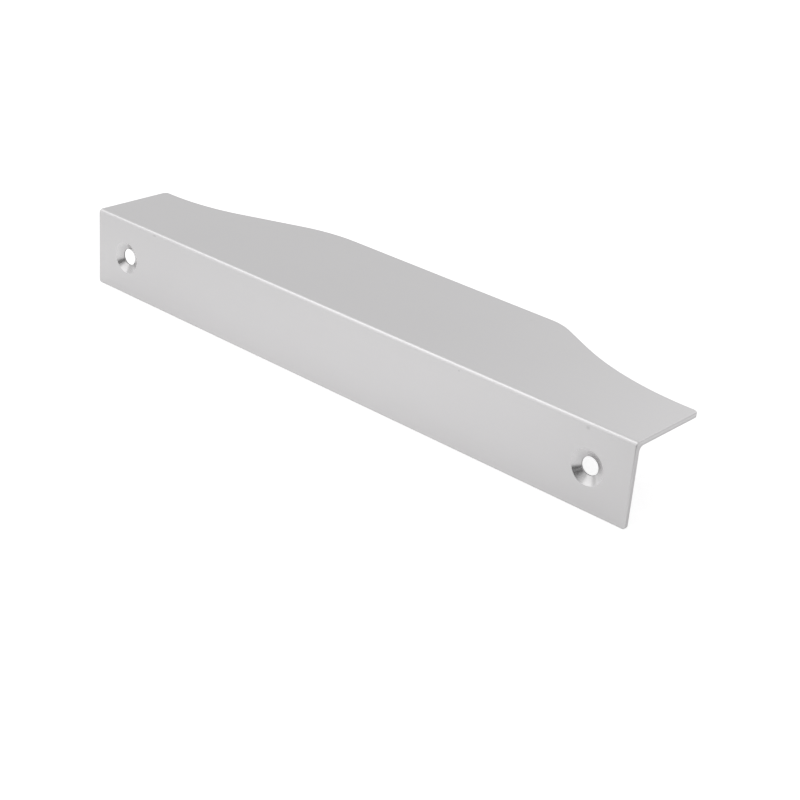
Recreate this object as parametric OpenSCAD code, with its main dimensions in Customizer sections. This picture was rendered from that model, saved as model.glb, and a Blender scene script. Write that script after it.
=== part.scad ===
// Profile handle: a length of aluminium angle that hangs over the edge of a door or drawer front.
// The leg is screwed to the back of the front. The flange lies over its edge, and the part that
// bulges past it is the grip. +X runs along the profile, +Y points from the leg to the grip, +Z up.
// The origin lies on the leg's mounting face, midway between the two screw holes.

/* [Profile] */
// Height of the screw leg, over the flange
leg_h = 22; // [18:0.5:40]
// Wall thickness of leg and flange
wall = 1.5; // [1.2:0.1:2.5]
// Outer radius of the fold
fold_r = 1.1; // [0.4:0.1:2]
// Radius of the fillet inside the fold
fillet_r = 1.2; // [0.4:0.1:3]
// Radius of the leg's free edges
edge_r = 0.3; // [0.1:0.05:0.5]
// Radius of the leg's free corners
leg_corner_r = 0.8; // [0.4:0.1:4]

/* [Grip] */
// Depth of the grip over the leg, at its middle
grip_depth = 40.2; // [34:0.1:50]
// Depth of the flange over the leg, at its ends
end_depth = 24.8; // [18:0.1:30]
// Length of the straight edge at each end of the flange
end_land = 3; // [2:0.5:12]
// Radius of the flange's end corners
flange_corner_r = 1.5; // [0.4:0.1:2]

/* [Left fall, at -X] */
// Radius of the convex shoulder beside the grip's straight edge
left_shoulder_r = 45; // [4:1:60]
// Radius of the concave sweep down to the end
left_sweep_r = 62; // [30:1:90]
// Slope of the edge between shoulder and sweep, in degrees, less where the two arcs leave no room
left_slope = 22.5; // [16:0.5:33]

/* [Right fall, at +X] */
// Radius of the convex shoulder beside the grip's straight edge
right_shoulder_r = 14; // [4:1:60]
// Radius of the concave sweep down to the end
right_sweep_r = 75; // [30:1:90]
// Slope of the edge between shoulder and sweep, in degrees, less where the two arcs leave no room
right_slope = 28.5; // [16:0.5:33]

/* [Screw holes] */
// Spacing of the screw holes
hole_pitch = 160; // [128:32:320]
// Distance from each screw hole to the end of the profile
hole_margin = 12; // [8:0.5:30]
// Diameter of the screw holes
hole_d = 4.6; // [3.2:0.1:6]
// Diameter of the countersinks at the leg's outer face
sink_d = 9; // [7:0.1:11]
// Length of plain hole that is left behind each countersink
hole_land = 0.35; // [0.15:0.05:0.8]

/* [Hidden] */
$fn = 96;

length = hole_pitch + 2 * hole_margin;
leg_top = leg_h / 2;
leg_bottom = -leg_h / 2;
outer_face = -wall;
grip_edge = outer_face + grip_depth;
end_edge = outer_face + end_depth;

// How deep the flange's edge falls from the grip to the ends, and the slope at which a shoulder
// and a sweep fill that fall with hardly any straight edge between them
edge_fall = grip_depth - end_depth;
function steepest(arcs_r) = acos(1 - edge_fall / arcs_r) - 0.5;

// How far the pieces of the edge reach into the flange, how far cutters pass a face, and how far
// an arc overlaps the straight edge that it runs into, so that no sliver is left between them
web = end_depth;
past = 1;
lap = 0.001;

// What is cut off a square corner at the origin, with the metal at +x and +y, to round it
module corner_cut(r) {
    difference() {
        translate([-past, -past]) square(r + past);
        translate([r, r]) circle(r);
    }
}

// Cross section of the profile, with y to the right and z up, before the flange's edge is cut
module section() {
    difference() {
        union() {
            translate([outer_face, leg_bottom]) square([wall, leg_h]);
            translate([outer_face, leg_top - wall]) square([grip_depth + past, wall]);
            // Fillet inside the fold
            translate([0, leg_top - wall]) mirror([0, 1]) difference() {
                translate([-wall / 2, -wall / 2]) square(fillet_r + wall / 2);
                translate([fillet_r, fillet_r]) circle(fillet_r);
            }
        }
        translate([outer_face, leg_top]) mirror([0, 1]) corner_cut(fold_r);
        translate([outer_face, leg_bottom]) corner_cut(edge_r);
        translate([0, leg_bottom]) mirror([1, 0]) corner_cut(edge_r);
    }
}

// The flange's +X side from above, built along its edge from the middle to the end: straight grip,
// shoulder, straight slope, sweep and end land, each running into the next without a corner
module outline_side(shoulder_r, sweep_r, slope) {
    arcs_r = shoulder_r + sweep_r;
    angle = min(slope, steepest(arcs_r));
    slope_len = (edge_fall - arcs_r * (1 - cos(angle))) / sin(angle);
    grip_half = length / 2 - end_land - arcs_r * sin(angle) - slope_len * cos(angle);

    translate([0, outer_face - past]) square([length / 2 + past, end_depth + past]);
    square([grip_half, grip_edge]);
    translate([grip_half, grip_edge - shoulder_r]) {
        // Shoulder
        intersection() {
            circle(shoulder_r);
            translate([-shoulder_r, 0]) square([2 * shoulder_r, shoulder_r + past]);
        }
        rotate(-angle) {
            // Straight slope
            translate([0, -web]) square([slope_len + past, shoulder_r - lap + web]);
            // Sweep
            translate([slope_len, arcs_r - 2 * lap]) rotate(angle) difference() {
                polygon([[0, 0], (sweep_r + web) * [-sin(angle), -cos(angle)], [0, -sweep_r - web]]);
                circle(sweep_r);
            }
        }
    }
}

// Screw hole with its countersink, along +Y from the leg's outer face
module screw_hole() {
    translate([0, outer_face, 0]) rotate([-90, 0, 0]) {
        translate([0, 0, -past]) cylinder(d = hole_d, h = wall + 2 * past);
        cylinder(d1 = sink_d, d2 = hole_d, h = wall - hole_land);
    }
}

// What is cut off the profile at its +X end: the corners of flange and leg, and the screw hole
module end_cuts() {
    translate([length / 2, end_edge, 0]) rotate(180)
        linear_extrude(leg_h + past) corner_cut(flange_corner_r);
    translate([length / 2, past, leg_bottom]) mirror([1, 0, 0]) rotate([90, 0, 0])
        linear_extrude(wall + 2 * past) corner_cut(leg_corner_r);
    translate([hole_pitch / 2, 0, 0]) screw_hole();
}

module profile_handle() {
    color("silver") difference() {
        intersection() {
            rotate([90, 0, 90]) linear_extrude(length, center = true) section();
            linear_extrude(2 * leg_h, center = true) {
                outline_side(right_shoulder_r, right_sweep_r, right_slope);
                mirror([1, 0]) outline_side(left_shoulder_r, left_sweep_r, left_slope);
            }
        }
        end_cuts();
        mirror([1, 0, 0]) end_cuts();
    }
}

profile_handle();
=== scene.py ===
"""Looks of the profile handle: a satin anodised angle with a swept grip and two countersunk holes.

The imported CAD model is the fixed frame. One piece with finely rounded edges stands for its node,
and floor, light and camera follow the studio set-up of the photograph. Sizes are in millimetres
where a name ends in _mm, and in metres elsewhere.
"""
import logging
import math
from contextlib import contextmanager
from dataclasses import dataclass, field
from enum import Enum
from typing import Callable, Iterator

import bmesh
import bpy
from mathutils import Matrix, Vector


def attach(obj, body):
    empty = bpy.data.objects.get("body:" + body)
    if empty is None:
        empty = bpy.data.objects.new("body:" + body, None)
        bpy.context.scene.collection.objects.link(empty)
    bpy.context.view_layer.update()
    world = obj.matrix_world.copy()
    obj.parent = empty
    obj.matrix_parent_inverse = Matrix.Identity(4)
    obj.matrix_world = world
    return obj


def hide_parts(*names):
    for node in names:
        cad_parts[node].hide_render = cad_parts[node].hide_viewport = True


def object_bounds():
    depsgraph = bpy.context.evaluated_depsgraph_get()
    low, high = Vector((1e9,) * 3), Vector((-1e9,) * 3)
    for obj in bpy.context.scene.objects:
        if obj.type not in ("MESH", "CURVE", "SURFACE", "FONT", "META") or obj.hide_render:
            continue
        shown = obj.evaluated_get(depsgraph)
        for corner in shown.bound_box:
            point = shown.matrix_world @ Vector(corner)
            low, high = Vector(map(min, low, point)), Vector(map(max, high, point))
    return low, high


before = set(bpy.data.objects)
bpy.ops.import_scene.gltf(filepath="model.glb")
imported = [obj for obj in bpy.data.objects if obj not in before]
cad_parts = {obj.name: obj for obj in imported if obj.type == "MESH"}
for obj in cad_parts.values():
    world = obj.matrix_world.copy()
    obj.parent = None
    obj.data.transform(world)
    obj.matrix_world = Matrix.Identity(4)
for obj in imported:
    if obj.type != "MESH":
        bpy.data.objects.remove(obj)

MM = 0.001
NODE = "profile_handle"
LOG = logging.getLogger(NODE)
CAD_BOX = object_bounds()

# Lengths that differ by less are equal, on plain edges and on the rims that the drills cut
TOUCH = 1e-6
RIM_TOUCH = 1e-5
# Points that lie closer than this are merged
MERGE = 1e-7
# Profile of a round bevel
ROUND = 0.5
# Share of a normal along the axis that its face looks along
FACING = 0.9
# The same along y: more than FLUSH is a face of the leg, less than BORE is the wall of a hole
FLUSH = 0.98
BORE = 0.5
# Red, green and blue of the photograph's faintly warm silver
SILVER = (1.013, 1.0, 1.007)
WHITE = (1.0, 1.0, 1.0, 1.0)


class End(Enum):
    """The two ends of the profile, by the sign of x."""

    LEFT = -1
    RIGHT = 1


class FaceFinish(Enum):
    """Finishes of the piece's faces, in the order of its material slots."""

    SATIN = 0
    TURNED = 1
    DRILLED = 2
    SAWN = 3


class Pick(Enum):
    """What is selected in edit mode, as Blender's flags for vertices, edges and faces."""

    EDGES = (False, True, False)
    FACES = (False, False, True)


def only(obj: bpy.types.Object) -> None:
    """Select one object alone and make it active.

    Args:
        obj: The object that the next operators act on.
    """
    bpy.ops.object.select_all(action="DESELECT")
    obj.select_set(True)
    bpy.context.view_layer.objects.active = obj


@contextmanager
def editing(obj: bpy.types.Object) -> Iterator[None]:
    """Hold one object in edit mode.

    Args:
        obj: The mesh object to edit.
    """
    only(obj)
    bpy.ops.object.mode_set(mode="EDIT")
    try:
        yield
    finally:
        bpy.ops.object.mode_set(mode="OBJECT")


def select(
    obj: bpy.types.Object, pick: Pick, choose: Callable[[bmesh.types.BMesh], list]
) -> None:
    """Select parts of a mesh in edit mode.

    Args:
        obj: The object in edit mode.
        pick: Whether edges or faces are selected.
        choose: Takes the mesh and gives the parts that are wanted.
    """
    bpy.context.tool_settings.mesh_select_mode = pick.value
    bpy.ops.mesh.select_all(action="DESELECT")
    # The mesh is held by name, because its parts are lost when it is freed
    mesh = bmesh.from_edit_mesh(obj.data)
    for part in choose(mesh):
        part.select_set(True)
    bmesh.update_edit_mesh(obj.data)


def select_edges(obj: bpy.types.Object, test: Callable[[Vector, Vector], bool]) -> None:
    """Select the edges of a mesh in edit mode by their ends.

    Args:
        obj: The object in edit mode.
        test: Takes an edge's two end points and says whether it is wanted.
    """
    select(
        obj,
        Pick.EDGES,
        lambda mesh: [e for e in mesh.edges if test(e.verts[0].co, e.verts[1].co)],
    )


def both(test: Callable[[Vector], bool]) -> Callable[[Vector, Vector], bool]:
    """Make a test for edges from one that both their ends have to pass."""
    return lambda a, b: test(a) and test(b)


def near(value: float, target: float, slack: float = TOUCH) -> bool:
    """Say whether a length lies at a target."""
    return abs(value - target) < slack


def slide(x: float = 0.0, y: float = 0.0, z: float = 0.0) -> None:
    """Extrude what is selected and move it."""
    bpy.ops.mesh.extrude_region_move(TRANSFORM_OT_translate={"value": (x, y, z)})


def bevel(radius_mm: float, steps: int) -> None:
    """Round the edges that are selected."""
    bpy.ops.mesh.bevel(offset=radius_mm * MM, segments=steps, profile=ROUND, affect="EDGES")


def face_outwards() -> None:
    """Turn the faces of the mesh in edit mode outwards, and leave it selected all over."""
    bpy.ops.mesh.select_all(action="SELECT")
    bpy.ops.mesh.normals_make_consistent(inside=False)


def add_plane(
    size: tuple[float, float],
    place: tuple[float, float, float],
    turn_deg: tuple[float, float, float],
) -> bpy.types.Object:
    """Add a plane with its size, place and turn in its mesh.

    Args:
        size: Its width and height.
        place: Its middle.
        turn_deg: Turn about each axis from lying flat.

    Returns:
        The plane, selected alone.
    """
    bpy.ops.object.select_all(action="DESELECT")
    turn = tuple(math.radians(angle) for angle in turn_deg)
    bpy.ops.mesh.primitive_plane_add(size=1.0, location=place, rotation=turn)
    plane = bpy.context.object
    plane.scale = (*size, 1.0)
    bpy.ops.object.transform_apply(location=True, rotation=True, scale=True)
    return plane


def cut(obj: bpy.types.Object, cutter: bpy.types.Object) -> None:
    """Take a cutter's volume out of a piece and remove the cutter.

    Args:
        obj: The piece.
        cutter: A closed mesh.
    """
    only(obj)
    boolean = obj.modifiers.new("cut", "BOOLEAN")
    boolean.operation = "DIFFERENCE"
    boolean.solver = "EXACT"
    boolean.object = cutter
    bpy.ops.object.modifier_apply(modifier=boolean.name)
    bpy.data.objects.remove(cutter)


class Nodes:
    """A node tree that is being written, with short calls for the nodes that the finishes use."""

    def __init__(self, tree: bpy.types.NodeTree) -> None:
        """Empty a tree and keep it.

        Args:
            tree: The tree of a material or of the world.
        """
        self.tree = tree
        tree.nodes.clear()

    def add(self, kind: str, **values: object) -> bpy.types.Node:
        """Add a node and set its properties.

        Args:
            kind: The node's type name.
            **values: Properties of the node by name.

        Returns:
            The new node.
        """
        node = self.tree.nodes.new(kind)
        for name, value in values.items():
            setattr(node, name, value)
        return node

    def link(self, source: bpy.types.NodeSocket, target: bpy.types.NodeSocket) -> None:
        """Link an output to an input."""
        self.tree.links.new(source, target)

    def math(self, operation: str, *inputs: object) -> bpy.types.NodeSocket:
        """Add a Math node.

        Args:
            operation: Its operation.
            *inputs: Sockets or numbers, in the order of its inputs.

        Returns:
            Its output socket.
        """
        node = self.add("ShaderNodeMath", operation=operation)
        self._feed(node, inputs)
        return node.outputs[0]

    def vector(self, operation: str, *inputs: object) -> bpy.types.Node:
        """Add a Vector Math node.

        Args:
            operation: Its operation.
            *inputs: Sockets, numbers or vectors, in the order of its inputs.

        Returns:
            The node, because its result may be a vector or a value.
        """
        node = self.add("ShaderNodeVectorMath", operation=operation)
        self._feed(node, inputs)
        return node

    def _feed(self, node: bpy.types.Node, inputs: tuple[object, ...]) -> None:
        """Link or set a node's inputs in order.

        Args:
            node: The node.
            inputs: Sockets to link, or values to set.
        """
        for socket, value in zip(node.inputs, inputs):
            if isinstance(value, bpy.types.NodeSocket):
                self.link(value, socket)
            else:
                socket.default_value = value

    def place(self) -> bpy.types.NodeSocket:
        """Give the object's own coordinates."""
        return self.add("ShaderNodeTexCoord").outputs["Object"]

    def split(self, vector: bpy.types.NodeSocket) -> tuple[bpy.types.NodeSocket, ...]:
        """Split a vector.

        Args:
            vector: The vector.

        Returns:
            Its x, y and z.
        """
        node = self.add("ShaderNodeSeparateXYZ")
        self.link(vector, node.inputs[0])
        return tuple(node.outputs)

    def length(self, vector: bpy.types.NodeSocket) -> bpy.types.NodeSocket:
        """Give a vector's length."""
        return self.vector("LENGTH", vector).outputs["Value"]

    def ramp(
        self, value: bpy.types.NodeSocket, start: float, stop: float, low: float, high: float
    ) -> bpy.types.NodeSocket:
        """Add a smooth ramp.

        Args:
            value: What it reads.
            start: Where it starts.
            stop: Where it ends.
            low: What it gives up to its start.
            high: What it gives past its end.

        Returns:
            Its result.
        """
        node = self.add("ShaderNodeMapRange", interpolation_type="SMOOTHSTEP")
        names = ("From Min", "From Max", "To Min", "To Max")
        for name, number in zip(names, (start, stop, low, high)):
            node.inputs[name].default_value = number
        self.link(value, node.inputs["Value"])
        return node.outputs[0]

    def noise(
        self, place: bpy.types.NodeSocket, size_mm: float, octaves: float = 2.0
    ) -> bpy.types.NodeSocket:
        """Add a noise of a given size.

        Args:
            place: The coordinates that it reads.
            size_mm: The size of its features.
            octaves: How many finer octaves it has.

        Returns:
            Its value, round a mean of a half.
        """
        noise = self.add("ShaderNodeTexNoise")
        noise.inputs["Scale"].default_value = 1.0 / (size_mm * MM)
        noise.inputs["Detail"].default_value = octaves
        self.link(place, noise.inputs["Vector"])
        return noise.outputs["Fac"]

    def spread(
        self, noise: bpy.types.NodeSocket, width: float, mean: float = 1.0
    ) -> bpy.types.NodeSocket:
        """Spread a noise over a width about a mean.

        Args:
            noise: A value round a mean of a half.
            width: How far the result ranges.
            mean: The result's mean.

        Returns:
            The spread value.
        """
        return self.math("MULTIPLY_ADD", noise, width, mean - width / 2)

    def vary(
        self, tone: bpy.types.NodeSocket, noise: bpy.types.NodeSocket, width: float
    ) -> bpy.types.NodeSocket:
        """Vary a tone by a noise and leave its mean.

        Args:
            tone: The tone so far.
            noise: A value round a mean of a half.
            width: How far the tone ranges by it.

        Returns:
            The varied tone.
        """
        return self.math("MULTIPLY_ADD", self.math("SUBTRACT", noise, 0.5), width, tone)

    def rays(self) -> tuple[bpy.types.NodeSocket, bpy.types.NodeSocket]:
        """Tell rays apart.

        Returns:
            A flag for rays from the camera, and one for rays by way of metal or glass.
        """
        path = self.add("ShaderNodeLightPath").outputs
        bounced = self.math("MAXIMUM", path["Is Glossy Ray"], path["Is Transmission Ray"])
        return path["Is Camera Ray"], bounced

    def show(self, shader: bpy.types.Node, output: str = "ShaderNodeOutputMaterial") -> None:
        """Link a shader to the tree's output."""
        self.link(shader.outputs[0], self.add(output).inputs["Surface"])

    def metal(
        self,
        grey: float,
        tone: bpy.types.NodeSocket,
        rough: bpy.types.NodeSocket,
        height: bpy.types.NodeSocket,
        depth_mm: float,
    ) -> bpy.types.Node:
        """Finish the tree with a bare silvery metal.

        Args:
            grey: Mean brightness.
            tone: Factor on the brightness.
            rough: Roughness.
            height: Relief of the surface, from 0 to 1.
            depth_mm: Depth of that relief.

        Returns:
            The metal's shader node.
        """
        tint = self.vector("SCALE", tuple(grey * share for share in SILVER))
        self.link(tone, tint.inputs["Scale"])
        bump = self.add("ShaderNodeBump")
        bump.inputs["Distance"].default_value = depth_mm * MM
        self.link(height, bump.inputs["Height"])
        shader = self.add("ShaderNodeBsdfPrincipled")
        shader.inputs["Metallic"].default_value = 1.0
        self.link(tint.outputs[0], shader.inputs["Base Color"])
        self.link(rough, shader.inputs["Roughness"])
        self.link(bump.outputs[0], shader.inputs["Normal"])
        self.show(shader)
        return shader


def new_material(name: str) -> tuple[bpy.types.Material, Nodes]:
    """Make a material.

    Args:
        name: Its name.

    Returns:
        The material and its empty tree.
    """
    made = bpy.data.materials.new(name)
    made.use_nodes = True
    return made, Nodes(made.node_tree)


@dataclass(frozen=True)
class Fleck:
    """A small dull mark on the anodised skin.

    Attributes:
        middle_mm: Where it lies.
        size_mm: Its half length along each axis.
        depth: How much of the colour it takes away.
        core: Share of its size where it is darkest.
    """

    middle_mm: tuple[float, float, float]
    size_mm: tuple[float, float, float]
    depth: float
    core: float = 0.2

    def mark(
        self, nodes: Nodes, place: bpy.types.NodeSocket, tone: bpy.types.NodeSocket
    ) -> bpy.types.NodeSocket:
        """Darken a tone inside the fleck.

        Args:
            nodes: The tree that is being written.
            place: The object's coordinates.
            tone: The tone so far.

        Returns:
            The tone with the mark in it.
        """
        offset = nodes.vector("SUBTRACT", place, Vector(self.middle_mm) * MM).outputs[0]
        scaled = nodes.vector("DIVIDE", offset, Vector(self.size_mm) * MM).outputs[0]
        inside = nodes.ramp(nodes.length(scaled), 1.0, self.core, 0.0, self.depth)
        return nodes.math("SUBTRACT", tone, inside)


@dataclass(frozen=True)
class SatinAnodised:
    """Satin anodised aluminium: an etched skin with a fine grain and faint die lines along x.

    Attributes:
        colour: Mean grey of the skin.
        roughness: Mean roughness.
        rough_width: How far the grain varies the roughness.
        cloud_mm: Size of the faint clouds in tone.
        cloud_tone: How far the clouds vary the tone.
        grain_mm: Size of the etched grain.
        grain_octaves: How many finer octaves the grain has.
        grain_tone: How far the grain varies the tone.
        line_mm: Spacing of the die lines.
        line_squeeze: Factor on x that draws the lines out.
        line_tone: How far the lines vary the tone.
        relief_mm: Depth of grain and lines together.
        flecks: Small dull marks.
    """

    colour: float = 0.65
    roughness: float = 0.4
    rough_width: float = 0.08
    cloud_mm: float = 38.0
    cloud_tone: float = 0.03
    grain_mm: float = 0.16
    grain_octaves: float = 3.0
    grain_tone: float = 0.05
    line_mm: float = 0.45
    line_squeeze: float = 0.012
    line_tone: float = 0.012
    relief_mm: float = 0.0005
    flecks: tuple[Fleck, ...] = (
        Fleck((-68.2, -1.4, 10.1), (0.9, 0.7, 0.35), 0.15),
        Fleck((41.1, -1.4, 9.7), (0.4, 0.7, 0.3), 0.15),
        Fleck((78.9, -1.4, 9.6), (0.8, 0.7, 0.65), 0.16),
        Fleck((34.9, 34.0, 11.0), (0.5, 0.4, 0.5), 0.04),
    )

    def material(self) -> bpy.types.Material:
        """Make the finish as a material.

        Returns:
            The new material.
        """
        made, nodes = new_material("satin_anodised")
        place = nodes.place()
        cloud = nodes.noise(place, self.cloud_mm)
        grain = nodes.noise(place, self.grain_mm, self.grain_octaves)
        along = nodes.vector("MULTIPLY", place, (self.line_squeeze, 1.0, 1.0)).outputs[0]
        lines = nodes.noise(along, self.line_mm)
        tone = nodes.spread(cloud, self.cloud_tone)
        tone = nodes.vary(tone, grain, self.grain_tone)
        tone = nodes.vary(tone, lines, self.line_tone)
        for fleck in self.flecks:
            tone = fleck.mark(nodes, place, tone)
        rough = nodes.spread(grain, self.rough_width, self.roughness)
        height = nodes.math("MULTIPLY_ADD", lines, 0.5, nodes.math("MULTIPLY", grain, 0.5))
        nodes.metal(self.colour, tone, rough, height, self.relief_mm)
        return made


@dataclass(frozen=True)
class TurnedAluminium:
    """Bare aluminium in the countersinks, cut after anodising, with fine rings from the tool, and
    painted shade that darkens it towards the hole.

    Attributes:
        hole_x_mm: Distance of the holes' axes from the middle of the profile.
        inner_mm: Diameter of the hole at the countersink's foot.
        outer_mm: Diameter of the countersink at the face.
        colour: Grey of the fresh metal.
        inner_painted_shade: Factor on the grey at the countersink's foot.
        outer_painted_shade: Factor on the grey at the face.
        roughness: Mean roughness.
        anisotropy: How much the rings stretch a reflection across themselves.
        ring_mm: Spacing of the rings.
        ring_tone: How much paler the rings' crests are.
        ring_depth_mm: Depth of the rings.
        stain_mm: Size of the faint stains.
        stain_tone: How much paler the stains make the metal.
        stain_rough: How far the stains vary the roughness.
    """

    hole_x_mm: float
    inner_mm: float
    outer_mm: float
    colour: float = 0.66
    inner_painted_shade: float = 0.8
    outer_painted_shade: float = 0.94
    roughness: float = 0.21
    anisotropy: float = 0.2
    ring_mm: float = 0.16
    ring_tone: float = 0.05
    ring_depth_mm: float = 0.0015
    stain_mm: float = 0.9
    stain_tone: float = 0.08
    stain_rough: float = 0.08

    def material(self) -> bpy.types.Material:
        """Make the finish as a material.

        Returns:
            The new material.
        """
        made, nodes = new_material("turned_aluminium")
        place = nodes.place()
        x, _, z = nodes.split(place)
        axis_x = nodes.math("MULTIPLY", nodes.math("SIGN", x), self.hole_x_mm * MM)
        spoke = nodes.add("ShaderNodeCombineXYZ")
        nodes.link(nodes.math("SUBTRACT", x, axis_x), spoke.inputs["X"])
        nodes.link(z, spoke.inputs["Z"])
        radius = nodes.length(spoke.outputs[0])
        around = nodes.vector("CROSS_PRODUCT", spoke.outputs[0], (0.0, 1.0, 0.0)).outputs[0]
        tangent = nodes.vector("NORMALIZE", around).outputs[0]
        turn = nodes.math("MULTIPLY", radius, 2 * math.pi / (self.ring_mm * MM))
        rings = nodes.math("MULTIPLY_ADD", nodes.math("SINE", turn), 0.5, 0.5)
        stain = nodes.noise(place, self.stain_mm)
        inner, outer = self.inner_mm / 2 * MM, self.outer_mm / 2 * MM
        # Painted shade: the grey is darkened most at the countersink's foot and a little at the
        # face
        tone = nodes.ramp(radius, inner, outer, self.inner_painted_shade, self.outer_painted_shade)
        tone = nodes.math("MULTIPLY_ADD", rings, self.ring_tone, tone)
        tone = nodes.math("MULTIPLY_ADD", stain, self.stain_tone, tone)
        rough = nodes.spread(stain, self.stain_rough, self.roughness)
        shader = nodes.metal(self.colour, tone, rough, rings, self.ring_depth_mm)
        shader.inputs["Anisotropic"].default_value = self.anisotropy
        nodes.link(tangent, shader.inputs["Tangent"])
        return made


@dataclass(frozen=True)
class DrilledWall:
    """The wall of a drilled hole, scored round its axis, dull from drilling and darkened further
    by painted shade of the hole.

    Attributes:
        colour: Mean grey, partly the drilled metal and partly painted shade of the hole.
        roughness: Mean roughness.
        score_mm: Spacing of the scores.
        squeeze: Factor across the hole that draws the scores out round it.
        score_tone: How far the scores vary the tone.
        score_rough: How far the scores vary the roughness.
        score_depth_mm: Depth of the scores.
    """

    # Kept low partly as painted shade inside the hole
    colour: float = 0.36
    roughness: float = 0.5
    score_mm: float = 0.06
    squeeze: float = 0.1
    score_tone: float = 0.3
    score_rough: float = 0.1
    score_depth_mm: float = 0.002

    def material(self) -> bpy.types.Material:
        """Make the finish as a material.

        Returns:
            The new material.
        """
        made, nodes = new_material("drilled_wall")
        squeeze = (self.squeeze, 1.0, self.squeeze)
        around = nodes.vector("MULTIPLY", nodes.place(), squeeze).outputs[0]
        score = nodes.noise(around, self.score_mm)
        tone = nodes.spread(score, self.score_tone)
        rough = nodes.spread(score, self.score_rough, self.roughness)
        nodes.metal(self.colour, tone, rough, score, self.score_depth_mm)
        return made


@dataclass(frozen=True)
class SawnEnd:
    """The sawn ends of the profile, with fine marks across the wall, and painted light that makes
    them paler up at the flange.

    Attributes:
        under_mm: Height of the flange's underside.
        wall_mm: Wall of the flange.
        colour: Mean grey.
        roughness: Mean roughness.
        mark_mm: Spacing of the saw marks.
        slant_deg: Slant of the saw marks.
        squeeze: Factor along the saw marks that draws them out.
        mark_tone: How far the marks vary the tone.
        mark_rough: How far the marks vary the roughness.
        mark_depth_mm: Depth of the marks.
        pale: How much paler painted light makes the flange's end at its upper side.
        painted_light_span: Shares of the wall where that starts and where it is complete.
    """

    under_mm: float
    wall_mm: float
    colour: float = 0.6
    roughness: float = 0.42
    mark_mm: float = 0.12
    slant_deg: float = 38.0
    squeeze: float = 0.03
    mark_tone: float = 0.14
    mark_rough: float = 0.1
    mark_depth_mm: float = 0.0012
    pale: float = 0.18
    painted_light_span: tuple[float, float] = (0.2, 0.8)

    def material(self) -> bpy.types.Material:
        """Make the finish as a material.

        Returns:
            The new material.
        """
        made, nodes = new_material("sawn_end")
        place = nodes.place()
        slanted = nodes.add("ShaderNodeMapping")
        slanted.inputs["Rotation"].default_value = (math.radians(self.slant_deg), 0.0, 0.0)
        slanted.inputs["Scale"].default_value = (1.0, 1.0, self.squeeze)
        nodes.link(place, slanted.inputs["Vector"])
        marks = nodes.noise(slanted.outputs[0], self.mark_mm)
        # Painted light: the tone is raised by height towards the flange's upper side
        start, stop = ((self.under_mm + share * self.wall_mm) * MM for share in self.painted_light_span)
        paler = nodes.ramp(nodes.split(place)[2], start, stop, 0.0, self.pale)
        tone = nodes.math("ADD", nodes.spread(marks, self.mark_tone), paler)
        rough = nodes.spread(marks, self.mark_rough, self.roughness)
        nodes.metal(self.colour, tone, rough, marks, self.mark_depth_mm)
        return made


@dataclass
class AngleBar:
    """The straight angle that the handle is cut from.

    Attributes:
        length_mm: Length along x.
        leg_mm: Height of the leg over the flange.
        wall_mm: Wall of leg and flange.
        depth_mm: Depth of the flange over the leg.
        fold_r_mm: Outer radius of the fold.
        fillet_r_mm: Radius inside the fold.
        fold_steps: Faces round the fold.
        flat_deg: Least angle at which an edge between two faces is kept.
    """

    length_mm: float
    leg_mm: float = 22.0
    wall_mm: float = 1.5
    depth_mm: float = 40.2
    fold_r_mm: float = 1.1
    fillet_r_mm: float = 1.2
    fold_steps: int = 10
    flat_deg: float = 0.5

    @property
    def top(self) -> float:
        """Height of the flange's upper face."""
        return self.leg_mm / 2 * MM

    @property
    def wall(self) -> float:
        """Wall in metres."""
        return self.wall_mm * MM

    @property
    def under_mm(self) -> float:
        """Height of the flange's underside."""
        return self.leg_mm / 2 - self.wall_mm

    def build(self) -> bpy.types.Object:
        """Draw the section, extrude it along x and round the fold.

        Returns:
            The bar.
        """
        length, top, wall = self.length_mm * MM, self.top, self.wall
        under = top - wall
        bar = add_plane(
            (2 * top - wall, wall), (-length / 2, -wall / 2, -wall / 2), (0.0, 90.0, 0.0)
        )
        with editing(bar):
            select_edges(bar, both(lambda p: near(p.z, under)))
            slide(z=wall)
            select_edges(bar, both(lambda p: near(p.y, 0.0) and p.z > under - TOUCH))
            slide(y=self.depth_mm * MM - wall)
            bpy.ops.mesh.select_all(action="SELECT")
            slide(x=length)
            face_outwards()
            self._round(bar, -wall, top, self.fold_r_mm)
            self._round(bar, 0.0, under, self.fillet_r_mm)
            bpy.ops.mesh.select_all(action="SELECT")
            bpy.ops.mesh.dissolve_limited(angle_limit=math.radians(self.flat_deg))
        return bar

    def _round(self, bar: bpy.types.Object, y: float, z: float, radius_mm: float) -> None:
        """Round one edge that runs along x.

        Args:
            bar: The bar in edit mode.
            y: Place of the edge across the profile.
            z: Height of the edge.
            radius_mm: Its new radius.
        """
        select_edges(bar, both(lambda p: near(p.y, y) and near(p.z, z)))
        bevel(radius_mm, self.fold_steps)


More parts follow.
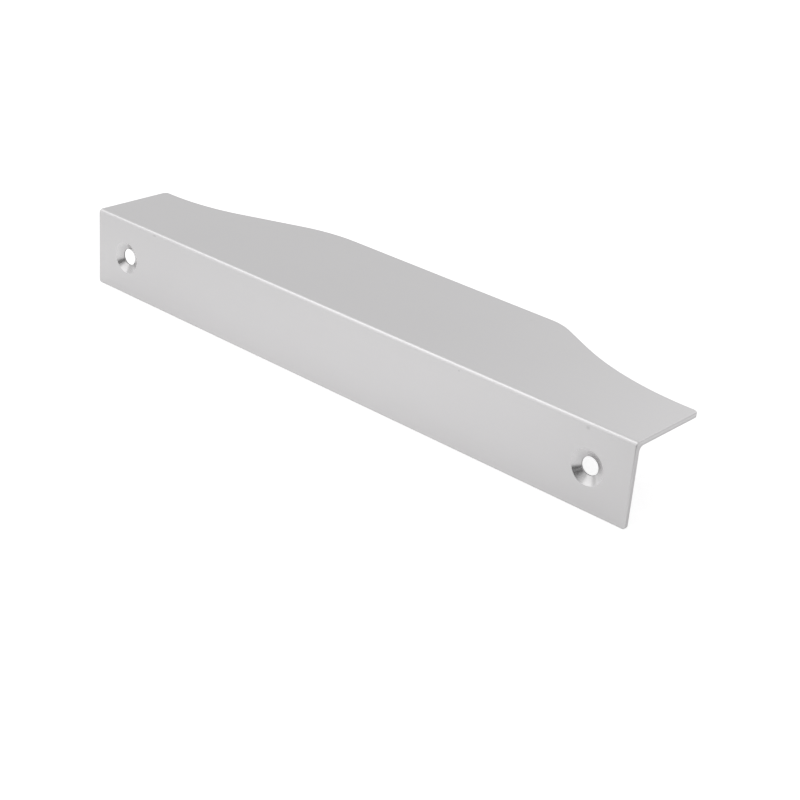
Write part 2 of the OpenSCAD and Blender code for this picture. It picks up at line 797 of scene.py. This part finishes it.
@dataclass(frozen=True)
class Fall:
    """One side's way down from the grip: convex shoulder, straight slope and concave sweep.

    Attributes:
        shoulder_r_mm: Radius of the shoulder.
        sweep_r_mm: Radius of the sweep.
        slope_deg: Slope between them.
    """

    shoulder_r_mm: float
    sweep_r_mm: float
    slope_deg: float

    @property
    def turn(self) -> float:
        """Slope in radians, which is also the angle of both arcs."""
        return math.radians(self.slope_deg)

    def slope_len_mm(self, depth_mm: float) -> float:
        """Give the length of the straight slope.

        Args:
            depth_mm: How deep the edge falls.

        Returns:
            What the two arcs leave for the slope.
        """
        rise = (self.shoulder_r_mm + self.sweep_r_mm) * (1 - math.cos(self.turn))
        return (depth_mm - rise) / math.sin(self.turn)

    def run_mm(self, depth_mm: float) -> float:
        """Give the length of the whole fall along the profile.

        Args:
            depth_mm: How deep the edge falls.

        Returns:
            The lengths of both arcs and the slope along x.
        """
        arcs = (self.shoulder_r_mm + self.sweep_r_mm) * math.sin(self.turn)
        return arcs + self.slope_len_mm(depth_mm) * math.cos(self.turn)


@dataclass
class SweptOutline:
    """The flange's free edge: the grip's straight edge, a fall on each side, and straight ends.

    Attributes:
        length_mm: Length along x.
        grip_edge_mm: Place of the grip's straight edge, from the mounting face.
        end_edge_mm: Place of the straight ends.
        end_land_mm: Length of each straight end.
        left: The fall at -x, with a wide shoulder.
        right: The fall at +x, with a tight shoulder.
        steps: Faces along each arc.
        overreach: Factor by which the cutter is thicker than the edge's fall.
    """

    length_mm: float
    grip_edge_mm: float = 38.7
    end_edge_mm: float = 23.3
    end_land_mm: float = 3.0
    left: Fall = Fall(45.0, 62.0, 22.5)
    right: Fall = Fall(14.0, 75.0, 28.5)
    steps: int = 20
    overreach: float = 1.3

    @property
    def depth_mm(self) -> float:
        """How deep the edge falls from the grip to the ends."""
        return self.grip_edge_mm - self.end_edge_mm

    def fall(self, end: End) -> Fall:
        """Give the fall on one side."""
        return self.left if end is End.LEFT else self.right

    def grip_end_mm(self, end: End) -> float:
        """Give the place along x where the grip's straight edge ends on one side."""
        run = self.fall(end).run_mm(self.depth_mm)
        return end.value * (self.length_mm / 2 - self.end_land_mm - run)

    def cutter(self, low: float, high: float) -> bpy.types.Object:
        """Trace the outline as an upright ribbon and thicken it away from the flange.

        Args:
            low: Lower side of the ribbon.
            high: Upper side of the ribbon.

        Returns:
            The cutter, which holds all that lies past the outline.
        """
        left, right = (self.grip_end_mm(end) * MM for end in End)
        ribbon = add_plane(
            (right - left, high - low),
            ((left + right) / 2, self.grip_edge_mm * MM, (low + high) / 2),
            (90.0, 0.0, 0.0),
        )
        with editing(ribbon):
            for end in End:
                self._trace(ribbon, end)
            bpy.ops.mesh.select_all(action="SELECT")
            slide(y=self.overreach * self.depth_mm * MM)
            face_outwards()
        return ribbon

    def _trace(self, ribbon: bpy.types.Object, end: End) -> None:
        """Lengthen the ribbon from the grip's straight edge to one end, and past it.

        Args:
            ribbon: The ribbon in edit mode.
            end: The end to go to.
        """
        fall, sign = self.fall(end), end.value
        turn, slope_len_mm = fall.turn, fall.slope_len_mm(self.depth_mm)
        down = Vector((sign * math.cos(turn), -math.sin(turn), 0.0))
        normal = Vector((sign * math.sin(turn), math.cos(turn), 0.0))
        start = Vector((self.grip_end_mm(end), self.grip_edge_mm, 0.0))
        shoulder = start - Vector((0.0, fall.shoulder_r_mm, 0.0))
        foot = shoulder + normal * fall.shoulder_r_mm + down * slope_len_mm
        sweep = foot + normal * fall.sweep_r_mm
        steps = (
            lambda: self._spin(shoulder, sign * turn),
            lambda: slide(*(down * slope_len_mm * MM)),
            lambda: self._spin(sweep, -sign * turn),
            lambda: slide(x=sign * 2 * self.end_land_mm * MM),
        )
        for step in steps:
            self._pick_tip(ribbon, sign)
            step()

    def _pick_tip(self, ribbon: bpy.types.Object, sign: int) -> None:
        """Select the upright edge that lies furthest towards one end.

        Args:
            ribbon: The ribbon in edit mode.
            sign: The sign of x at that end.
        """
        mesh = bmesh.from_edit_mesh(ribbon.data)
        tip = max(sign * v.co.x for v in mesh.verts)
        select_edges(ribbon, both(lambda p: near(sign * p.x, tip)))

    def _spin(self, centre_mm: Vector, angle: float) -> None:
        """Spin what is selected about an upright axis."""
        bpy.ops.mesh.spin(
            steps=self.steps, angle=angle, center=centre_mm * MM, axis=(0.0, 0.0, 1.0)
        )


@dataclass
class ScrewHole:
    """A screw hole through the leg with a countersink on the leg's outer face.

    Attributes:
        x_mm: Distance of the hole from the middle of the profile.
        bore_mm: Diameter of the hole.
        sink_mm: Diameter of the countersink at the face.
        land_mm: Length of plain hole behind the countersink.
        wall_mm: Wall of the leg.
        rim_r_mm: Radius on the hole's edges.
        rim_steps: Faces across that radius.
        steps: Faces round the hole.
    """

    x_mm: float = 80.0
    bore_mm: float = 4.6
    sink_mm: float = 9.0
    land_mm: float = 0.35
    wall_mm: float = 1.5
    rim_r_mm: float = 0.1
    rim_steps: int = 2
    steps: int = 96

    def cutter(self) -> bpy.types.Object:
        """Model the drill: a pin through the leg that opens into the countersink.

        Returns:
            The cutter for the right end.
        """
        bore_r, sink_r = self.bore_mm / 2 * MM, self.sink_mm / 2 * MM
        x, land, past = self.x_mm * MM, self.land_mm * MM, self.wall_mm * MM
        depth = past - land
        grow = (sink_r - bore_r) / depth
        bpy.ops.object.select_all(action="DESELECT")
        bpy.ops.mesh.primitive_cylinder_add(
            vertices=self.steps,
            radius=bore_r,
            depth=past + land,
            location=(x, (past - land) / 2, 0.0),
            rotation=(math.radians(90), 0.0, 0.0),
        )
        drill = bpy.context.object
        bpy.ops.object.transform_apply(location=True, rotation=True, scale=True)
        middle = Vector((x, -land - depth - past, 0.0))
        wide = (bore_r + grow * (depth + past)) / bore_r
        with editing(drill):
            select(
                drill,
                Pick.FACES,
                lambda mesh: [f for f in mesh.faces if f.normal.y < -FACING],
            )
            slide(y=-depth - past)
            bpy.ops.transform.resize(value=(wide, 1.0, wide), center_override=middle)
        return drill

    def drill(self, bar: bpy.types.Object) -> None:
        """Drill both holes and take the sharpness off their edges.

        Args:
            bar: The piece.
        """
        right = self.cutter()
        only(right)
        bpy.ops.object.duplicate()
        left = bpy.context.object
        left.location.x = -2 * self.x_mm * MM
        bpy.ops.object.transform_apply(location=True, rotation=False, scale=False)
        for drill in (right, left):
            cut(bar, drill)
        with editing(bar):
            select_edges(bar, self._is_rim)
            bevel(self.rim_r_mm, self.rim_steps)

    def _is_rim(self, a: Vector, b: Vector) -> bool:
        """Say whether an edge runs round a hole.

        Args:
            a: One end of the edge.
            b: Its other end.

        Returns:
            Whether it lies on a hole's rim at either face or at the countersink's foot.
        """
        rings = (
            (self.sink_mm / 2 * MM, -self.wall_mm * MM),
            (self.bore_mm / 2 * MM, -self.land_mm * MM),
            (self.bore_mm / 2 * MM, 0.0),
        )
        return any(
            all(
                near(self.reach(p), r, RIM_TOUCH) and near(p.y, y, RIM_TOUCH)
                for p in (a, b)
            )
            for r, y in rings
        )

    def reach(self, point: Vector) -> float:
        """Give a point's distance from the axis of the hole at its end."""
        return math.hypot(abs(point.x) - self.x_mm * MM, point.z)

    def finish_of(self, polygon: bpy.types.MeshPolygon) -> FaceFinish | None:
        """Name the finish of a face that a drill has made.

        Args:
            polygon: A face of the piece.

        Returns:
            Its finish, or nothing where no drill has been.
        """
        along = abs(polygon.normal.y)
        if self.reach(polygon.center) > self.sink_mm / 2 * MM or along > FLUSH:
            return None
        return FaceFinish.DRILLED if along < BORE else FaceFinish.TURNED


@dataclass
class ProfileHandle:
    """The whole handle as one piece.

    Attributes:
        length_mm: Length along x.
        bar: The angle that it is cut from.
        outline: The flange's free edge.
        hole: The screw holes.
        edge_r_mm: Radius on all free edges.
        edge_steps: Faces across that radius.
        edge_deg: Least angle of an edge that gets it.
        flange_corner_r_mm: Radius of the flange's end corners.
        flange_corner_steps: Faces round them.
        leg_corner_r_mm: Radius of the leg's free corners.
        leg_corner_steps: Faces round them.
        smooth_deg: Most of an angle that is shaded smooth.
    """

    length_mm: float = 184.0
    bar: AngleBar = field(init=False)
    outline: SweptOutline = field(init=False)
    hole: ScrewHole = field(default_factory=ScrewHole)
    edge_r_mm: float = 0.4
    edge_steps: int = 4
    edge_deg: float = 40.0
    flange_corner_r_mm: float = 1.5
    flange_corner_steps: int = 8
    leg_corner_r_mm: float = 0.8
    leg_corner_steps: int = 6
    smooth_deg: float = 50.0

    def __post_init__(self) -> None:
        """Give bar and outline the handle's length."""
        self.bar = AngleBar(self.length_mm)
        self.outline = SweptOutline(self.length_mm)

    def build(self) -> bpy.types.Object:
        """Cut the handle from its bar.

        Returns:
            The finished piece, which stands for the CAD node.
        """
        piece = self.bar.build()
        piece.name = piece.data.name = "angle_profile"
        spare = self.bar.wall
        cut(piece, self.outline.cutter(-self.bar.top - spare, self.bar.top + spare))
        self._round_corners(piece)
        self._round_edges(piece)
        self.hole.drill(piece)
        self._smooth(piece)
        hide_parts(NODE)
        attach(piece, "root")
        return piece

    def dress(self, piece: bpy.types.Object) -> None:
        """Give the piece its finishes.

        Args:
            piece: The finished piece.
        """
        hole = self.hole
        finishes = {
            FaceFinish.SATIN: SatinAnodised(),
            FaceFinish.TURNED: TurnedAluminium(hole.x_mm, hole.bore_mm, hole.sink_mm),
            FaceFinish.DRILLED: DrilledWall(),
            FaceFinish.SAWN: SawnEnd(self.bar.under_mm, self.bar.wall_mm),
        }
        piece.data.materials.clear()
        for finish in FaceFinish:
            piece.data.materials.append(finishes[finish].material())
        for polygon in piece.data.polygons:
            sawn = abs(polygon.normal.x) > FACING
            bare = FaceFinish.SAWN if sawn else FaceFinish.SATIN
            finish = hole.finish_of(polygon) or bare
            polygon.material_index = finish.value

    def _round_corners(self, piece: bpy.types.Object) -> None:
        """Round the corners of flange and leg at both ends.

        Args:
            piece: The piece.
        """
        half, low = self.length_mm / 2 * MM, -self.bar.top
        edge = self.outline.end_edge_mm * MM
        corners = (
            (lambda p: near(p.y, edge), self.flange_corner_r_mm, self.flange_corner_steps),
            (lambda p: near(p.z, low), self.leg_corner_r_mm, self.leg_corner_steps),
        )
        with editing(piece):
            for at_corner, radius_mm, steps in corners:
                select_edges(
                    piece,
                    lambda a, b: near(a.x, b.x)
                    and all(near(abs(p.x), half) and at_corner(p) for p in (a, b)),
                )
                bevel(radius_mm, steps)

    def _round_edges(self, piece: bpy.types.Object) -> None:
        """Take the sharpness off every free edge.

        Args:
            piece: The piece.
        """
        only(piece)
        edges = piece.modifiers.new("edges", "BEVEL")
        edges.width = self.edge_r_mm * MM
        edges.segments = self.edge_steps
        edges.limit_method = "ANGLE"
        edges.angle_limit = math.radians(self.edge_deg)
        edges.use_clamp_overlap = False
        bpy.ops.object.modifier_apply(modifier=edges.name)

    def _smooth(self, piece: bpy.types.Object) -> None:
        """Merge doubles and shade the piece smooth, with its flat faces kept flat.

        Args:
            piece: The piece.
        """
        with editing(piece):
            bpy.ops.mesh.select_all(action="SELECT")
            bpy.ops.mesh.remove_doubles(threshold=MERGE)
            face_outwards()
        only(piece)
        bpy.ops.object.shade_smooth_by_angle(angle=math.radians(self.smooth_deg))
        weighted = piece.modifiers.new("flats", "WEIGHTED_NORMAL")
        weighted.keep_sharp = True
        bpy.ops.object.modifier_apply(modifier=weighted.name)


@dataclass(frozen=True)
class ViewCamera:
    """The photograph's camera, solved from the profile's straight edges.

    Attributes:
        place: Where it stands.
        azimuth_deg: Turn about the upright axis.
        elevation_deg: How far it looks down.
        roll_deg: Turn about its own axis.
        lens_mm: Focal length.
        sensor_mm: Width of the sensor.
        clip: Nearest distance that it shows.
    """

    place: tuple[float, float, float] = (0.260985, -0.284362, 0.173866)
    azimuth_deg: float = 39.976
    elevation_deg: float = 25.8
    roll_deg: float = 4.83
    lens_mm: float = 75.352
    sensor_mm: float = 36.0
    clip: float = 0.01

    def build(self) -> bpy.types.Object:
        """Add the camera and make it the scene's own.

        Returns:
            The camera.
        """
        data = bpy.data.cameras.new("photo_camera")
        data.lens = self.lens_mm
        data.sensor_width = self.sensor_mm
        data.clip_start = self.clip
        camera = bpy.data.objects.new("photo_camera", data)
        bpy.context.scene.collection.objects.link(camera)
        turn = Matrix.Rotation(math.radians(self.azimuth_deg), 4, "Z")
        turn @= Matrix.Rotation(math.radians(90 - self.elevation_deg), 4, "X")
        turn @= Matrix.Rotation(math.radians(self.roll_deg), 4, "Z")
        camera.matrix_world = Matrix.Translation(self.place) @ turn
        bpy.context.scene.camera = camera
        return camera


@dataclass(frozen=True)
class SoftBox:
    """A soft area lamp that looks at the handle.

    Attributes:
        name: Name of the lamp.
        direction: From the handle to the lamp.
        distance: How far away it stands.
        side: Its width and height.
        radiance: What its face adds to the white behind it, where 1 is as much again.
    """

    name: str
    direction: tuple[float, float, float]
    distance: float
    side: float
    radiance: float

    def build(self) -> bpy.types.Object:
        """Add the lamp.

        Returns:
            The lamp.
        """
        data = bpy.data.lights.new(self.name, "AREA")
        data.shape = "SQUARE"
        data.size = self.side
        data.energy = self.radiance * math.pi * self.side**2
        lamp = bpy.data.objects.new(self.name, data)
        bpy.context.scene.collection.objects.link(lamp)
        towards = Vector(self.direction).normalized()
        lamp.location = towards * self.distance
        lamp.rotation_euler = towards.to_track_quat("Z", "Y").to_euler()
        return lamp


@dataclass(frozen=True)
class DarkCard:
    """A dark card that only reflections see.

    Attributes:
        name: Name of the card.
        place: Its middle.
        size: Its width and height.
        tilt_deg: Turn about x from lying flat.
        colour: Grey of the card.
    """

    name: str
    place: tuple[float, float, float]
    size: tuple[float, float]
    tilt_deg: float
    colour: float

    def build(self) -> bpy.types.Object:
        """Add the card to the stage.

        Returns:
            The card.
        """
        card = add_plane(self.size, self.place, (self.tilt_deg, 0.0, 0.0))
        card.name = self.name
        paint, nodes = new_material(self.name)
        matt = nodes.add("ShaderNodeBsdfDiffuse")
        matt.inputs["Color"].default_value = (self.colour,) * 3 + (1.0,)
        nodes.show(matt)
        card.data.materials.append(paint)
        card.visible_camera = False
        card.visible_diffuse = False
        card.visible_shadow = False
        return card


@dataclass(frozen=True)
class Studio:
    """Pale floor, white surroundings and soft light.

    Attributes:
        floor_z: Height of the floor.
        foot_y: Place of the leg's outer face, where its foot meets the floor.
        floor_side: Width of the floor.
        floor_colour: Grey of the floor.
        floor_bounce: How much paler reflections see it.
        floor_glow: White added to the floor for the camera.
        floor_sheen: White added to the floor for reflections, in the middle of its painted pool of
            light.
        pool_x: Where the middle of that pool lies along x.
        pool: How far that pool reaches.
        pool_edge: What is left of the sheen at its edge.
        foot: What is left of the sheen at the leg's foot, as painted shade.
        foot_reach: How far in front of the leg that painted shade reaches.
        mirrored: Strength of the white surroundings in reflections.
        ambient: Strength of the white surroundings for diffuse light.
        boxes: The soft lamps.
        cards: The dark cards.
    """

    floor_z: float
    foot_y: float
    floor_side: float = 40.0
    floor_colour: float = 0.55
    floor_bounce: float = 0.45
    floor_glow: float = 0.72
    floor_sheen: float = 0.31
    pool_x: float = -0.01
    pool: float = 0.23
    pool_edge: float = 0.25
    foot: float = 0.8
    foot_reach: float = 0.012
    mirrored: float = 0.8
    ambient: float = 0.64
    boxes: tuple[SoftBox, ...] = (
        SoftBox("top_box", (-0.47, -0.24, 0.71), 1.1, 0.72, 1.06),
        SoftBox("front_box", (-0.55, -0.8, 0.3), 1.2, 0.64, 0.48),
        SoftBox("back_box", (-0.1, 0.8, 0.6), 1.3, 0.8, 0.35),
    )
    cards: tuple[DarkCard, ...] = (
        DarkCard("front_card", (0.095, -1.6, 0.22), (0.91, 0.46), 90.0, 0.18),
        DarkCard("front_mat", (0.345, -0.82, -0.01), (0.52, 1.56), 0.0, 0.03),
    )

    def build(self) -> None:
        """Add floor, cards, lamps and surroundings, and set the plain view transform."""
        self._floor()
        for card in self.cards:
            LOG.info("card %s", card.build().name)
        for box in self.boxes:
            LOG.info("lamp %s", box.build().name)
        self._world()
        bpy.context.scene.view_settings.view_transform = "Standard"

    def _floor(self) -> None:
        """Add the floor, which camera and reflections see as white with a soft shadow."""
        bpy.ops.object.select_all(action="DESELECT")
        bpy.ops.mesh.primitive_plane_add(size=self.floor_side, location=(0, 0, self.floor_z))
        floor = bpy.context.object
        floor.name = "floor"
        paint, nodes = new_material("pale_floor")
        camera, bounced = nodes.rays()
        matt = nodes.add("ShaderNodeBsdfDiffuse")
        grey = nodes.math("MULTIPLY_ADD", bounced, self.floor_bounce, self.floor_colour)
        nodes.link(grey, matt.inputs["Color"])
        glow = nodes.add("ShaderNodeEmission")
        strength = nodes.math("MULTIPLY", camera, self.floor_glow)
        strength = nodes.math("MULTIPLY_ADD", bounced, self._sheen(nodes), strength)
        nodes.link(strength, glow.inputs["Strength"])
        both_shaders = nodes.add("ShaderNodeAddShader")
        for shader, socket in zip((matt, glow), both_shaders.inputs):
            nodes.link(shader.outputs[0], socket)
        nodes.show(both_shaders)
        floor.data.materials.append(paint)

    def _sheen(self, nodes: Nodes) -> bpy.types.NodeSocket:
        """Write the floor's sheen: a painted pool of light with some painted shade at the leg's
        foot.

        Args:
            nodes: The floor's tree.

        Returns:
            The white that reflections see added to the floor.
        """
        place = nodes.place()
        front = self.foot_y - self.foot_reach
        # Painted shade in front of the leg's foot and a painted pool of light round the middle,
        # both seen only in reflections
        shade = nodes.ramp(nodes.split(place)[1], self.foot_y, front, self.foot, 1.0)
        offset = nodes.vector("SUBTRACT", place, (self.pool_x, 0.0, 0.0)).outputs[0]
        rim = self.floor_sheen * self.pool_edge
        pool = nodes.ramp(nodes.length(offset), 0.0, self.pool, self.floor_sheen, rim)
        return nodes.math("MULTIPLY", pool, shade)

    def _world(self) -> None:
        """Make the surroundings white for the camera, pale in reflections and plain elsewhere."""
        world = bpy.data.worlds.new("white_studio")
        world.use_nodes = True
        bpy.context.scene.world = world
        nodes = Nodes(world.node_tree)
        camera, bounced = nodes.rays()
        strength = nodes.math("MULTIPLY_ADD", bounced, self.mirrored - self.ambient, self.ambient)
        strength = nodes.math("MULTIPLY_ADD", camera, 1.0 - self.ambient, strength)
        sky = nodes.add("ShaderNodeBackground")
        sky.inputs["Color"].default_value = WHITE
        nodes.link(strength, sky.inputs["Strength"])
        nodes.show(sky, "ShaderNodeOutputWorld")


def main() -> None:
    """Build the handle, the studio and the camera."""
    logging.basicConfig(level=logging.INFO, format="%(name)s: %(message)s")
    handle = ProfileHandle()
    piece = handle.build()
    handle.dress(piece)
    LOG.info("%s: %d faces", piece.name, len(piece.data.polygons))
    Studio(CAD_BOX[0].z, CAD_BOX[0].y).build()
    LOG.info("camera %s", ViewCamera().build().name)


if __name__ == "__main__":
    main()
